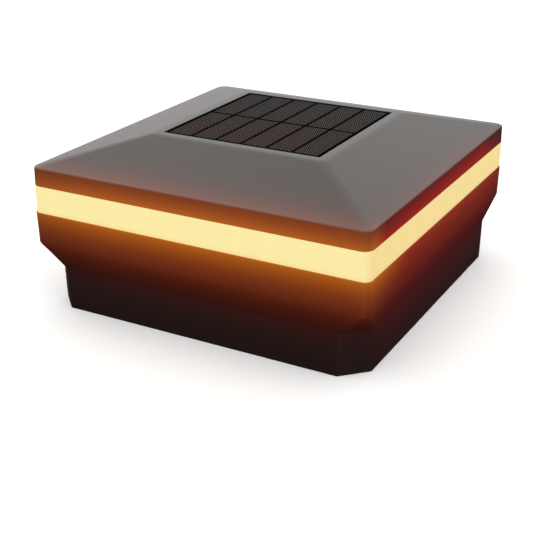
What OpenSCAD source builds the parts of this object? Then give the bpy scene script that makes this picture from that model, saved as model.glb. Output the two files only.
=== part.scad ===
// Solar deck post cap light.
// A hipped cover carries a solar panel in its flat top. Under the cover a glowing
// band runs all round, and the base below it has a skirt that slips over a square
// post. The panel charges a cell in the base by day, and light boards behind the
// band run from it at night. A slide switch under the base turns the light off.
//
// Millimetres, Z up. The origin is at the middle of the skirt's lower edge, and
// the front of the cap is its -Y side.

/* [Post] */
// Outside width of the square post
post_w = 127; // [125:0.5:131]
// How far the bevels on the post's corners reach along its sides
post_bevel = 7.6; // [3:0.2:9]
// Gap between post and skirt, each side
post_gap = 0.4; // [0.3:0.1:1]

/* [Base] */
// Wall of the skirt at its lower edge
skirt_wall = 2.2; // [1.2:0.1:2.6]
// Height of the skirt, up to the sloping step
skirt_h = 16.6; // [10:0.2:25]
// How much wider each side of the skirt is at its top than at its lower edge
skirt_draft = 0.2; // [0.1:0.1:0.6]
// Height of the sloping step
step_h = 9.6; // [6:0.2:16]
// How far the step leads outwards
step_out = 2.5; // [1.6:0.1:6]
// Height of the upright shoulder above the step
shoulder_h = 12.5; // [11:0.1:16]
// How much wider each side of the shoulder is at its top
shoulder_draft = 0.2; // [0.1:0.1:0.8]
// Corner radius of the shoulder
shoulder_r = 2.6; // [1.6:0.1:4]
// Wall of the base and cover round the band
shell_wall = 2; // [1.6:0.1:2.4]
// Thickness of the deck that carries the works
deck_t = 2; // [1.6:0.1:3]
// Depth of the seat under the deck, where the post stops
seat_t = 2; // [1.8:0.1:3]
// Width of that seat
seat_w = 6.9; // [4:0.1:9]
// How far the grip ribs stand into the skirt
grip_rib = 0.3; // [0.1:0.05:0.3]

/* [Light band] */
// Visible height of the band
light_h = 10.5; // [8:0.1:16]
// How far the band lies inside the cover's rim
light_inset = 0.2; // [0.2:0.1:1]
// Wall of the band
light_wall = 2.2; // [2:0.1:3]
// Corner radius of the band
light_r = 2.9; // [2.8:0.1:5]
// Height of the lips that enter the cover and the base
lip_h = 4; // [3:0.1:4.5]
// Thickness of the lips
lip_wall = 1.5; // [1:0.1:1.8]
// Gap between a lip and the wall round it
lip_gap = 0.2; // [0.1:0.05:0.4]
// Thickness of the two band gaskets
gasket_t = 1.2; // [0.8:0.1:1.6]

/* [Cover] */
// Height of the upright rim
rim_h = 7.1; // [6.5:0.1:12]
// How much narrower each side of the rim is at its top
rim_draft = 0.15; // [0:0.05:0.6]
// Corner radius of the rim
rim_r = 3.8; // [3:0.1:6]
// Rise of the hipped roof above the rim
roof_rise = 9.1; // [9:0.1:16]
// Upright thickness of the roof
roof_wall = 2.4; // [2:0.1:3]
// Flat border round the panel's pocket
flat_border = 3.5; // [3:0.1:8]
// Corner radius of the flat top
flat_r = 2.6; // [1:0.1:5]

/* [Solar panel] */
// Outside width of the square panel
panel_w = 65.4; // [60:0.2:70]
// Columns of cells
cell_columns = 6; // [4:1:8]
// Rows of cells
cell_rows = 2; // [1:1:3]
// Black border outside the cells
cell_border = 1.2; // [0.8:0.1:3]
// Black line between cells
cell_gap = 0.7; // [0.4:0.1:1.2]
// Thickness of a cell
cell_t = 0.3; // [0.2:0.05:0.5]
// Thickness of the backing board
backing_t = 1.6; // [1:0.1:2]
// Thickness of the clear sheet
sheet_t = 0.8; // [0.5:0.1:1.2]
// Thickness of the adhesive pad
pad_t = 0.8; // [0.5:0.1:1]
// Width of the adhesive pad's frame
pad_w = 5; // [3:0.5:8]
// Gap round the panel in its pocket
panel_gap = 0.3; // [0.2:0.05:0.5]
// How far the panel's face lies below the flat top
panel_sink = 0.1; // [0:0.05:0.4]

/* [Light boards] */
// Length of a light board
led_board_l = 104; // [90:1:106]
// Height of a light board
led_board_w = 8; // [6:0.5:12]
// Thickness of a light board
led_board_t = 1; // [0.8:0.1:1.2]
// Lights on each board
led_count = 8; // [4:1:10]
// Distance from the band's inner face to the reflector's wall
light_depth = 8.3; // [6:0.1:9]
// Thickness of the reflector
reflector_t = 1; // [0.8:0.1:1.4]

/* [Works] */
// Diameter of the battery cell
battery_d = 18.4; // [14:0.1:18.4]
// Length of the battery cell
battery_l = 65.2; // [50:0.2:66]
// Distance of the battery cell behind the middle
battery_y = 24; // [22:0.5:25]
// Length of the control board
board_l = 60; // [54:1:66]
// Width of the control board
board_w = 38; // [36:1:40]
// Distance of the control board in front of the middle
board_y = 23; // [22:0.5:25]
// Thickness of the control board
board_t = 1.6; // [1:0.1:2]
// Height of the posts that carry the control board
board_post_h = 5.2; // [5:0.1:6]
// Travel of the switch
switch_travel = 3; // [2:0.1:3]
// Width of the switch's knob
knob_w = 3.4; // [2.6:0.1:3.6]
// Distance of each corner screw from the middle, along X and Y
screw_place = 51; // [49:0.5:51]
// Diameter of the housing screws
screw_d = 3; // [2.5:0.1:3.2]
// Thickness of the battery door
door_t = 2; // [1.6:0.1:2.4]
// Thickness of the door's gasket
door_gasket_t = 1; // [0.8:0.1:1.4]

/* [Hidden] */
$fn = 48;
cut = 1; // how far a cutting shape runs past the face that it opens
seat_gap = 0.3; // clearance between pieces that only bear lightly
fine_gap = 0.1; // clearance between pieces that touch in use
corner_steps = 8; // facets in each rounded corner of a drafted form
edge_steps = 4; // facets across each softened edge
round_corner = 0; // corner of a section that is an arc
bevel_corner = 0.97; // corner that is almost a straight bevel, crowned a little as moulded
bevel_growth = 2 - sqrt(2); // how much a bevel's reach grows per millimetre of wall round it

// Outline, from the post outwards: half widths of the square sections
socket_half = post_w / 2 + post_gap;
socket_bevel = post_bevel + bevel_growth * post_gap;
skirt_half = socket_half + skirt_wall;
skirt_bevel = socket_bevel + bevel_growth * skirt_wall;
skirt_top_half = skirt_half + skirt_draft;
step_top_half = skirt_top_half + step_out;
cap_half = step_top_half + shoulder_draft;
rim_top_half = cap_half - rim_draft;
inner_half = cap_half - shell_wall;
inner_r = light_r - shell_wall / 2;

// Levels of the base
step_z = skirt_h;
shoulder_z = step_z + step_h;
base_top_z = shoulder_z + shoulder_h;
deck_top_z = base_top_z - lip_h - gasket_t;
deck_z = deck_top_z - deck_t;
seat_z = deck_z - seat_t;
seat_half = socket_half - seat_w;
seat_r = 8;

// Levels of the band and the cover
rim_z = base_top_z + light_h;
eaves_z = rim_z + rim_h;
top_z = eaves_z + roof_rise;
ledge_z = rim_z + lip_h + gasket_t;

// Band: its face, its lips and what lies behind it
light_half = cap_half - light_inset;
light_inner_half = light_half - light_wall;
lip_half = inner_half - lip_gap;
lip_r = inner_r - lip_gap;
lip_inner_half = lip_half - lip_wall;
lip_inner_r = 1.5;
reflector_half = light_inner_half - light_depth;
reflector_r = 2;
flange_gap = 0.4;
flange_half = lip_inner_half - flange_gap;
reflector_h = ledge_z - seat_gap - deck_top_z;
led_z = deck_top_z + reflector_h / 2;

// Solar panel and its pocket, from the top down
panel_half = panel_w / 2;
pocket_half = panel_half + panel_gap;
flat_half = pocket_half + flat_border;
sheet_z = top_z - panel_sink - sheet_t;
cell_z = sheet_z - cell_t;
backing_z = cell_z - backing_t;
pocket_z = backing_z - pad_t;
tray_half = pocket_half + shell_wall;
tray_z = pocket_z - shell_wall;
ledge_w = 0.7;
ledge_half = lip_inner_half - ledge_w;
roof_slope = roof_rise / (rim_top_half - flat_half);
cell_l = (panel_w - 2 * cell_border - (cell_columns - 1) * cell_gap) / cell_columns;
cell_w = (panel_w - 2 * cell_border - (cell_rows - 1) * cell_gap) / cell_rows;

// Height of the cover's ceiling above a point at this distance from the middle
function ceiling_z(half) = eaves_z + (rim_top_half - half) * roof_slope - roof_wall;

// Battery bay, a well that opens downwards through the deck
contact_t = 0.5;
spring_l = 4.5;
bay_l = battery_l + 2 * contact_t + spring_l + 2 * fine_gap;
bay_w = battery_d + 1;
bay_wall = 2;
door_ledge = 3;
door_end = 9;
door_l = bay_l + 2 * (door_ledge + door_end);
door_w = bay_w + 2 * door_ledge;
door_gap = 0.2;
door_r = 3;
door_plate_l = door_l - 2 * door_gap;
door_plate_w = door_w - 2 * door_gap;
door_plate_r = door_r - door_gap;
door_seat_z = deck_z + door_t + door_gasket_t;
battery_z = door_seat_z + 0.6 + battery_d / 2;
bay_top_z = battery_z + battery_d / 2 + 0.5;
door_screw_x = bay_l / 2 + door_ledge + door_end / 2;
door_screw_d = 2.2;
door_screw_l = 6;
door_screw_head_d = 4.4;
door_screw_head_h = 1.4;
block_h = door_seat_z + 6 - deck_z;
tab_z = battery_z + 4;
tab_w = 4;
tab_l = bay_wall + 1.5;

// Corner screws and the bosses that they join
boss_d = 9;
cover_boss_d = 8;
screw_head_d = 5.6;
screw_head_h = 2.2;
screw_head_gap = 0.8;
screw_seat_z = deck_z + 4.4;
boss_top_z = screw_seat_z + 3;
screw_l = 14;

// Control board and what stands on it
board_z = deck_top_z + board_post_h;
board_top_z = board_z + board_t;
board_hole_inset = 3;
board_post_d = 5.6;
board_screw_d = 2;
board_screw_l = 4.5;
board_screw_head_d = 3.8;
board_screw_head_h = 1.3;
socket_size = [7, 6, 6];
socket_x = [-18, -4];
chip_size = [6, 5, 1.7];
chip_place = [8, -6];
choke_d = 9;
choke_h = 5;
choke_place = [18, 4];
capacitor_d = 8;
capacitor_h = 11;
capacitor_place = [-14, 4];

// Slide switch, hung under the control board with its knob through the deck
switch_x = 12;
switch_y = -board_y + 6;
slider_size = [6, 5, 1.2];
switch_size = [slider_size[0] + switch_travel + 3.7, slider_size[1] + 1.6, 5];
switch_z = board_z - switch_size[2];
switch_floor = 1.3;
slider_z = switch_z + switch_floor + 0.3;
knob_z = deck_z - 1.2;
slot_l = knob_w + switch_travel + 2 * seat_gap;
slot_w = knob_w + 2 * seat_gap;
guard_h = 0.8;
guard_w = 1.4;

// Leads inside the housing, as hand-placed points
lead_d = 1.6;
lead_sides = 8;
lead_z = board_top_z + socket_size[2] / 2;
socket_front = -board_y - board_w / 2;
panel_lead_at = [-4, -20];
panel_hole_d = 4;
panel_lead_route = [
    [panel_lead_at[0], panel_lead_at[1], backing_z],
    [panel_lead_at[0], panel_lead_at[1], tray_z - 2],
    [panel_lead_at[0], -30, tray_z - 7],
    [panel_lead_at[0], -48, tray_z - 7],
    [panel_lead_at[0], -51, lead_z + 4],
    [panel_lead_at[0], -49, lead_z],
    [panel_lead_at[0], socket_front - 2, lead_z],
    [panel_lead_at[0], socket_front, lead_z]
];
led_lead_route = [
    [socket_x[0], -reflector_half, led_z],
    [socket_x[0], -reflector_half + 4, led_z],
    [socket_x[0], socket_front - 6, lead_z],
    [socket_x[0], socket_front, lead_z]
];
tab_end_x = bay_l / 2 + tab_l;
battery_socket_y = -board_y + board_w / 2;
battery_lead_route = [
    [tab_end_x, battery_y, tab_z],
    [tab_end_x + 4, battery_y, tab_z],
    [tab_end_x + 6, battery_y - 8, tab_z - 1],
    [tab_end_x + 2, 5, lead_z + 1],
    [24, 1, lead_z],
    [6, 3, lead_z],
    [1.4, 1, lead_z],
    [1.4, battery_socket_y, lead_z]
];

sides = ["front", "right", "back", "left"];
cell_total = cell_columns * cell_rows;

// ---------------------------------------------------------------- shapes

// Square of a given half width with round corners
module rounded_square(half, r) {
    square([2 * half, 2 * (half - r)], center = true);
    square([2 * (half - r), 2 * half], center = true);
    for (x = [-1, 1], y = [-1, 1])
        translate([x * (half - r), y * (half - r)])
            circle(r);
}

// Straight block on that square
module rounded_block(z, h, half, r) {
    translate([0, 0, z])
        linear_extrude(h)
            rounded_square(half, r);
}

// Square ring with round corners, outside and inside
module square_ring(z, h, half, r, inner, inner_corner) {
    translate([0, 0, z])
        linear_extrude(h)
            difference() {
                rounded_square(half, r);
                rounded_square(inner, inner_corner);
            }
}

// Straight block on a square with bevelled corners
module bevelled_block(z, h, half, bevel) {
    translate([0, 0, z])
        linear_extrude(h)
            intersection() {
                square(2 * half, center = true);
                rotate(45)
                    square(sqrt(2) * (2 * half - bevel), center = true);
            }
}

// Rectangular block with round corners, centred on X and Y
module rounded_plate(l, w, h, r) {
    linear_extrude(h) {
        square([l, w - 2 * r], center = true);
        square([l - 2 * r, w], center = true);
        for (x = [-1, 1], y = [-1, 1])
            translate([x * (l / 2 - r), y * (w / 2 - r)])
                circle(r);
    }
}

// A section of a drafted form is [height, half width, reach of the corner along a side,
// softened length, kind of corner]. Moves from section b towards section a by a length d
function toward(b, a, d) = b + (a - b) * d / norm([a[0] - b[0], a[1] - b[1]]);

// Replaces the edge at section b by a curve that touches the faces on both sides
function soft_edge(a, b, c) =
    b[3] == 0 ? [b] :
    let (p = toward(b, a, b[3]), q = toward(b, c, b[3]))
    [for (i = [0:edge_steps]) let (t = i / edge_steps)
        (1 - t) * (1 - t) * p + 2 * t * (1 - t) * b + t * t * q];

function softened(rows) = concat(
    [rows[0]],
    [for (i = [1:len(rows) - 2]) each soft_edge(rows[i - 1], rows[i], rows[i + 1])],
    [rows[len(rows) - 1]]
);

// Points round one section
function section_ring(row) = [
    for (q = [0:3], i = [0:corner_steps])
        let (
            t = i / corner_steps,
            start = compass(90 * q),
            end = compass(90 * (q + 1)),
            arc = compass(90 * (q + t)),
            bevel = (1 - t) * start + t * end,
            at = (row[1] - row[2]) * (start + end) + row[2] * ((1 - row[4]) * arc + row[4] * bevel)
        )
        [at[0], at[1], row[0]]
];

// Unit vector at an angle
function compass(a) = [cos(a), sin(a)];

// Solid whose skin runs through a stack of rings of points
module ring_skin(rings) {
    n = len(rings[0]);
    last = len(rings) - 1;
    polyhedron(
        points = [for (ring = rings) each ring],
        faces = concat(
            [[for (i = [0:n - 1]) i]],
            [for (k = [0:last - 1], i = [0:n - 1]) [k * n + i, (k + 1) * n + i, k * n + (i + 1) % n]],
            [for (k = [0:last - 1], i = [0:n - 1])
                [(k + 1) * n + i, (k + 1) * n + (i + 1) % n, k * n + (i + 1) % n]],
            [[for (i = [n - 1:-1:0]) last * n + i]]
        )
    );
}

// Solid through a stack of sections, listed from the bottom up
module drafted(rows) {
    ring_skin([for (row = softened(rows)) section_ring(row)]);
}

// Cuts the corners of a route once, keeping both ends
function smoother(p) = concat(
    [p[0]],
    [for (i = [0:len(p) - 2]) each [0.75 * p[i] + 0.25 * p[i + 1], 0.25 * p[i] + 0.75 * p[i + 1]]],
    [p[len(p) - 1]]
);

function unit(v) = v / norm(v);

// Ring of points round a route at point i; across is never along the route
function lead_ring(p, i, across) =
    let (
        t = unit(p[min(i + 1, len(p) - 1)] - p[max(i - 1, 0)]),
        u = unit(cross(across, t)),
        v = cross(t, u)
    )
    [for (k = [0:lead_sides - 1]) let (a = 360 * k / lead_sides)
        p[i] + lead_d / 2 * (cos(a) * u + sin(a) * v)];

module lead(route, across) {
    p = smoother(smoother(route));
    ring_skin([for (i = [len(p) - 1:-1:0]) lead_ring(p, i, across)]);
}

// Pan-head screw, point up, with the underside of its head at z = 0
module screw(d, l, head_d, head_h) {
    difference() {
        translate([0, 0, -head_h])
            cylinder(d = head_d, h = head_h);
        for (a = [0, 90])
            rotate(a)
                translate([-head_d / 4, -head_d / 16, -head_h - cut])
                    cube([head_d / 2, head_d / 8, head_h / 2 + cut]);
    }
    cylinder(d = d, h = l - d / 2);
    translate([0, 0, l - d / 2])
        cylinder(d1 = d, d2 = d / 3, h = d / 2);
}

// Copies its child to the four corner screws
module at_corners() {
    for (x = [-1, 1], y = [-1, 1])
        translate([x * screw_place, y * screw_place, 0])
            children();
}

// Copies its child to the four holes of the control board
module at_board_holes() {
    for (x = [-1, 1], y = [-1, 1])
        translate([
            x * (board_l / 2 - board_hole_inset),
            -board_y + y * (board_w / 2 - board_hole_inset),
            0
        ])
            children();
}

// Copies its child to the two screws of the battery door
module at_door_screws() {
    for (x = [-1, 1])
        translate([x * door_screw_x, battery_y, 0])
            children();
}

// Turns a child made for the front of the cap to side number i
module on_side(i) {
    rotate(90 * i)
        children();
}

// ---------------------------------------------------------------- housing

// Hipped cover: upright rim, four slopes and a flat top with the panel's pocket
module top_cover() {
    outside = [
        [rim_z, cap_half - 1, rim_r - 1, 0, round_corner],
        [rim_z, cap_half, rim_r, 0.4, round_corner],
        [eaves_z, rim_top_half, rim_r - rim_draft, 0.5, round_corner],
        [top_z, flat_half, flat_r, 1.4, round_corner],
        [top_z, pocket_half - 1, flat_r / 2, 0, round_corner]
    ];
    hollow = [
        [rim_z - cut, inner_half, inner_r, 0, round_corner],
        [ledge_z, inner_half, inner_r, 0, round_corner],
        [ledge_z, ledge_half, inner_r, 0, round_corner],
        [ceiling_z(ledge_half), ledge_half, inner_r, 0, round_corner],
        [ceiling_z(flat_half), flat_half, inner_r, 0, round_corner]
    ];
    color("#4a4542")
        difference() {
            drafted(outside);
            difference() {
                drafted(hollow);
                rounded_block(tray_z, top_z - tray_z, tray_half, 2);
                cover_ribs();
                at_corners()
                    translate([0, 0, boss_top_z + seat_gap])
                        cylinder(d = cover_boss_d, h = top_z - boss_top_z);
            }
            rounded_block(pocket_z, top_z, pocket_half, 0.6);
            translate([panel_lead_at[0], panel_lead_at[1], tray_z - cut])
                cylinder(d = panel_hole_d, h = top_z - tray_z);
            at_corners()
                translate([0, 0, boss_top_z])
                    cylinder(d = screw_d + fine_gap, h = screw_l);
        }
}

// Stiffening ribs under the slopes, two to a side, from the panel's tray outwards
module cover_ribs() {
    rib_t = 1.5;
    rib_place = tray_half / 2;
    for (i = [0:3], x = [-rib_place, rib_place])
        on_side(i)
            translate([x - rib_t / 2, tray_half - 1, tray_z - 2])
                cube([rib_t, flat_half, top_z - tray_z]);
}

// Base: skirt, sloping step and shoulder outside, with the deck across it inside
module base_housing() {
    color("#2e2a28")
        difference() {
            union() {
                base_shell();
                at_corners()
                    translate([0, 0, deck_z])
                        cylinder(d = boss_d, h = boss_top_z - deck_z);
                at_board_holes()
                    translate([0, 0, deck_z])
                        cylinder(d = board_post_d, h = board_z - deck_z);
                battery_block();
                grip_ribs();
                deck_ribs();
                switch_guard();
            }
            at_corners() {
                translate([0, 0, deck_z - cut])
                    cylinder(d = screw_head_d + screw_head_gap, h = screw_seat_z - deck_z + cut);
                translate([0, 0, deck_z])
                    cylinder(d = screw_d + 0.4, h = boss_top_z);
            }
            at_board_holes()
                translate([0, 0, deck_top_z])
                    cylinder(d = board_screw_d + fine_gap, h = board_z);
            battery_bay();
            translate([switch_x - slot_l / 2, switch_y - slot_w / 2, seat_z])
                cube([slot_l, slot_w, deck_top_z - seat_z + cut]);
        }
}

// The base's drafted outside, hollowed for the post below and the works above. The corners
// are bevelled on the skirt, like the post's, and close to sharp on the shoulder.
module base_shell() {
    outside = [
        [0, skirt_half - skirt_wall / 2, skirt_bevel - skirt_wall / 2, 0, bevel_corner],
        [0, skirt_half, skirt_bevel, 0.3, bevel_corner],
        [step_z, skirt_top_half, skirt_bevel, 0.6, bevel_corner],
        [shoulder_z, step_top_half, shoulder_r, 0.6, round_corner],
        [base_top_z, cap_half, shoulder_r, 0.4, round_corner],
        [base_top_z, cap_half - 1, shoulder_r - 1, 0, round_corner]
    ];
    difference() {
        drafted(outside);
        bevelled_block(-cut, seat_z + cut, socket_half, socket_bevel);
        rounded_block(seat_z - cut, seat_t + cut, seat_half, seat_r);
        rounded_block(deck_top_z, base_top_z, inner_half, inner_r);
    }
}

// Upright grip ribs inside the skirt, two to a side
module grip_ribs() {
    rib_r = 1;
    rib_place = post_w / 4;
    for (i = [0:3], x = [-rib_place, rib_place])
        on_side(i)
            intersection() {
                translate([x, socket_half + rib_r - grip_rib, skirt_wall])
                    cylinder(r = rib_r, h = seat_z - skirt_wall);
                translate([x - rib_r, 0, 0])
                    cube([2 * rib_r, socket_half + skirt_wall / 2, seat_z]);
            }
}

// Ribs under the deck, between the seats: two across it and two in front of them
module deck_ribs() {
    rib_t = 1.6;
    rib_h = seat_t + deck_t / 2;
    rib_x = board_l / 2;
    door_clear = door_w / 2 + 4;
    for (y = [battery_y - door_clear, battery_y + door_clear])
        translate([-seat_half - 1, y - rib_t / 2, seat_z])
            cube([2 * seat_half + 2, rib_t, rib_h]);
    for (x = [-rib_x, rib_x])
        translate([x - rib_t / 2, -seat_half - 1, seat_z])
            cube([rib_t, seat_half + 1 + battery_y - door_clear, rib_h]);
}

// Low collar round the switch's slot, so that the post can't brush the knob
module switch_guard() {
    translate([switch_x, switch_y, deck_z - guard_h])
        rounded_plate(slot_l + 2 * guard_w, slot_w + 2 * guard_w, guard_h + deck_t / 2, guard_w);
}

// Block that stands on the deck round the battery bay and takes the door's screws
module battery_block() {
    translate([0, battery_y, deck_z]) {
        rounded_plate(door_l + 2 * bay_wall, door_w + 2 * bay_wall, block_h, door_r + bay_wall);
        rounded_plate(bay_l + 2 * bay_wall, bay_w + 2 * bay_wall, bay_top_z + bay_wall - deck_z, bay_wall);
    }
}

// Everything that is cut away for the battery, its door and its contacts
module battery_bay() {
    translate([0, battery_y, 0]) {
        translate([0, 0, seat_z])
            rounded_plate(door_l, door_w, door_seat_z - seat_z, door_r);
        translate([0, 0, deck_z])
            rounded_plate(bay_l, bay_w, bay_top_z - deck_z, 0.5);
        for (x = [-1, 1])
            translate([x * (bay_l / 2 + bay_wall / 2), 0, tab_z])
                cube([bay_wall + 2 * cut, tab_w + 2 * fine_gap, contact_t + 2 * fine_gap], center = true);
    }
    at_door_screws()
        translate([0, 0, deck_z])
            cylinder(d = door_screw_d + fine_gap, h = door_screw_l + fine_gap);
}

// Opal band: its visible wall with a lip above and a lip below
module light_diffuser() {
    color("#ffd98a")
        union() {
            square_ring(base_top_z, light_h, light_half, light_r, light_inner_half, lip_inner_r);
            square_ring(
                base_top_z - lip_h, light_h + 2 * lip_h,
                lip_half, lip_r, lip_inner_half, lip_inner_r
            );
        }
}

module cover_gasket() {
    color("#1c1c1c")
        square_ring(ledge_z - gasket_t, gasket_t, lip_half, lip_r, lip_inner_half, lip_inner_r);
}

module base_gasket() {
    color("#1c1c1c")
        square_ring(deck_top_z, gasket_t, lip_half, lip_r, lip_inner_half, lip_inner_r);
}

// ---------------------------------------------------------------- solar panel

module panel_pad() {
    pad_half = panel_half - 1;
    color("#3a3a3a")
        square_ring(pocket_z, pad_t, pad_half, 1, pad_half - pad_w, 1);
}

module panel_backing() {
    color("#0c0b0b")
        rounded_block(backing_z, backing_t, panel_half, 0.5);
}

// Cell number i, counted along X and then from the front row to the back row
module solar_cell(i) {
    column = i % cell_columns;
    row = floor(i / cell_columns);
    corner = cell_border - panel_half;
    color("#3c3431")
        translate([
            corner + column * (cell_l + cell_gap),
            corner + row * (cell_w + cell_gap),
            cell_z
        ])
            cube([cell_l, cell_w, cell_t]);
}

module panel_sheet() {
    color("#a8b4b8", 0.3)
        rounded_block(sheet_z, sheet_t, panel_half, 0.5);
}

// ---------------------------------------------------------------- light boards

// White channel that faces outwards: a wall with a flange above and below
module reflector() {
    color("white")
        difference() {
            union() {
                square_ring(
                    deck_top_z, reflector_h,
                    reflector_half, reflector_r, reflector_half - reflector_t, reflector_r - reflector_t
                );
                for (z = [deck_top_z, deck_top_z + reflector_h - reflector_t])
                    square_ring(
                        z, reflector_t,
                        flange_half, lip_inner_r, reflector_half - reflector_t, reflector_r - reflector_t
                    );
            }
            translate([socket_x[0], -reflector_half + reflector_t + cut, led_z])
                rotate([90, 0, 0])
                    cylinder(d = lead_d + 1, h = reflector_t + 2 * cut);
        }
}

module led_board(i) {
    color("#f2efe6")
        on_side(i)
            translate([-led_board_l / 2, -reflector_half - led_board_t, led_z - led_board_w / 2])
                cube([led_board_l, led_board_t, led_board_w]);
}

// Row of surface-mounted lights on board number i, each with its round window
module leds(i) {
    led_size = [3.5, 0.7, 2.8];
    window_d = 2.2;
    window_t = 0.1;
    pitch = led_board_l / led_count;
    color("#ffe9a8")
        on_side(i)
            for (k = [0:led_count - 1])
                translate([
                    (k + 0.5) * pitch - led_board_l / 2,
                    -reflector_half - led_board_t,
                    led_z
                ]) {
                    translate([-led_size[0] / 2, -led_size[1], -led_size[2] / 2])
                        cube(led_size);
                    translate([0, -led_size[1], 0])
                        rotate([90, 0, 0])
                            cylinder(d = window_d, h = window_t);
                }
}

// Three jumpers that carry the current round the reflector's corners
module led_links() {
    link_t = 0.3;
    link_w = 4;
    face = reflector_half + 0.05;
    start = led_board_l / 2;
    color("#c87f3a")
        for (i = [0:2])
            on_side(i) {
                translate([start, -face - link_t, led_z - link_w / 2])
                    cube([face + link_t - start, link_t, link_w]);
                translate([face, -face - link_t, led_z - link_w / 2])
                    cube([link_t, face + link_t - start, link_w]);
            }
}

// ---------------------------------------------------------------- control board

module control_board() {
    color("#1f5c33")
        difference() {
            translate([0, -board_y, board_z])
                rounded_plate(board_l, board_w, board_t, 1.5);
            at_board_holes()
                translate([0, 0, board_z - cut])
                    cylinder(d = board_screw_d + 0.4, h = board_t + 2 * cut);
        }
}

module charge_chip() {
    leg_pitch = 1.27;
    color("#202020")
        translate([chip_place[0], -board_y + chip_place[1], board_top_z]) {
            translate([0, 0, chip_size[2] / 2 + fine_gap])
                cube([chip_size[0], chip_size[1] - 1, chip_size[2] - fine_gap], center = true);
            for (k = [-1.5:1.5], y = [-1, 1])
                translate([k * leg_pitch, y * chip_size[1] / 2, chip_size[2] / 4])
                    cube([0.4, 1.4, chip_size[2] / 2], center = true);
        }
}

// Drum choke: two flanges with the winding between them
module choke_coil() {
    flange = 1;
    color("#3b3b3b")
        translate([choke_place[0], -board_y + choke_place[1], board_top_z]) {
            cylinder(d = choke_d, h = flange);
            cylinder(d = choke_d - 1.5, h = choke_h);
            translate([0, 0, choke_h - flange])
                cylinder(d = choke_d, h = flange);
        }
}

module capacitor() {
    groove_z = 1.6;
    color("#22313f")
        translate([capacitor_place[0], -board_y + capacitor_place[1], board_top_z])
            difference() {
                cylinder(d = capacitor_d, h = capacitor_h);
                translate([0, 0, groove_z])
                    rotate_extrude()
                        translate([capacitor_d / 2, 0])
                            circle(0.4, $fn = 16);
            }
}

// Plug sockets for the three leads: two along the front edge, one at the back
module lead_sockets() {
    color("#efe9dc") {
        for (x = socket_x)
            translate([x - socket_size[0] / 2, socket_front, board_top_z])
                cube(socket_size);
        translate([-socket_size[0] / 2, battery_socket_y - socket_size[1], board_top_z])
            cube(socket_size);
    }
}

// Case of the slide switch: a box with a slot in its floor
module switch_body() {
    room = [slider_size[0] + switch_travel + 2 * seat_gap, slider_size[1] + 0.4];
    color("#c9ccce")
        translate([switch_x, switch_y, switch_z])
            difference() {
                translate([-switch_size[0] / 2, -switch_size[1] / 2, 0])
                    cube(switch_size);
                translate([-room[0] / 2, -room[1] / 2, switch_floor])
                    cube([room[0], room[1], slider_size[2] + 0.6]);
                translate([-slot_l / 2, -slot_w / 2, -cut])
                    cube([slot_l, slot_w, switch_floor + 2 * cut]);
            }
}

// Slider, shown switched on, at the -X end of its travel
module switch_slider() {
    color("#e8e8e8")
        translate([switch_x - switch_travel / 2, switch_y, 0]) {
            translate([-slider_size[0] / 2, -slider_size[1] / 2, slider_z])
                cube(slider_size);
            difference() {
                translate([-knob_w / 2, -knob_w / 2, knob_z])
                    cube([knob_w, knob_w, slider_z - knob_z]);
                for (k = [-1:1])
                    translate([k * knob_w / 4, 0, knob_z])
                        rotate([90, 0, 0])
                            cylinder(r = knob_w / 12, h = knob_w + 2 * cut, center = true);
            }
        }
}

// ---------------------------------------------------------------- battery

// Battery cell along X, its pole button at +X
module battery_cell() {
    button_d = 5.5;
    button_l = 1;
    sleeve_l = battery_l - button_l;
    start = -bay_l / 2 + contact_t + spring_l + fine_gap;
    color("#4b7fae")
        translate([start, battery_y, battery_z])
            rotate([0, 90, 0]) {
                cylinder(d = battery_d, h = sleeve_l);
                cylinder(d = button_d, h = battery_l);
            }
}

// Flat contact with its solder tab, made for the +X end of the bay
module contact_blank() {
    contact_w = 14;
    translate([bay_l / 2 - contact_t / 2, battery_y, battery_z])
        cube([contact_t, contact_w, contact_w], center = true);
    translate([bay_l / 2 - contact_t / 2, battery_y - tab_w / 2, tab_z - contact_t / 2])
        cube([tab_l + contact_t / 2, tab_w, contact_t]);
}

module contact_plate() {
    color("#c8c4b8")
        contact_blank();
}

// Coiled contact: the same blank at the -X end, with a tapering spring on it
module contact_spring() {
    wire_d = 0.8;
    turns = 3;
    steps = 18;
    wide_r = 6;
    narrow_r = 3.5;
    sides = 6;
    length = spring_l - wire_d;
    coil = [
        for (k = [turns * steps:-1:0])
            let (t = k / (turns * steps), a = 360 * k / steps, r = wide_r + (narrow_r - wide_r) * t)
            [for (s = [0:sides - 1]) let (b = 360 * s / sides, w = r + wire_d / 2 * cos(b))
                [length * t + wire_d / 2 * sin(b), w * cos(a), w * sin(a)]]
    ];
    color("#c8c4b8") {
        mirror([1, 0, 0])
            contact_blank();
        translate([-bay_l / 2 + contact_t + wire_d / 2, battery_y, battery_z])
            ring_skin(coil);
    }
}

module battery_door() {
    color("#2e2a28")
        difference() {
            translate([0, battery_y, deck_z])
                rounded_plate(door_plate_l, door_plate_w, door_t, door_plate_r);
            at_door_screws()
                translate([0, 0, deck_z - cut])
                    cylinder(d = door_screw_d + 0.4, h = door_t + 2 * cut);
        }
}

module door_gasket() {
    hole_d = door_screw_d + 0.8;
    color("#1c1c1c")
        translate([0, 0, deck_z + door_t])
            difference() {
                translate([0, battery_y, 0])
                    rounded_plate(door_plate_l, door_plate_w, door_gasket_t, door_plate_r);
                translate([0, battery_y, -cut])
                    rounded_plate(bay_l, bay_w, door_gasket_t + 2 * cut, 0.5);
                at_door_screws()
                    translate([0, 0, -cut])
                        cylinder(d = hole_d, h = door_gasket_t + 2 * cut);
            }
}

// ---------------------------------------------------------------- fasteners and leads

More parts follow.
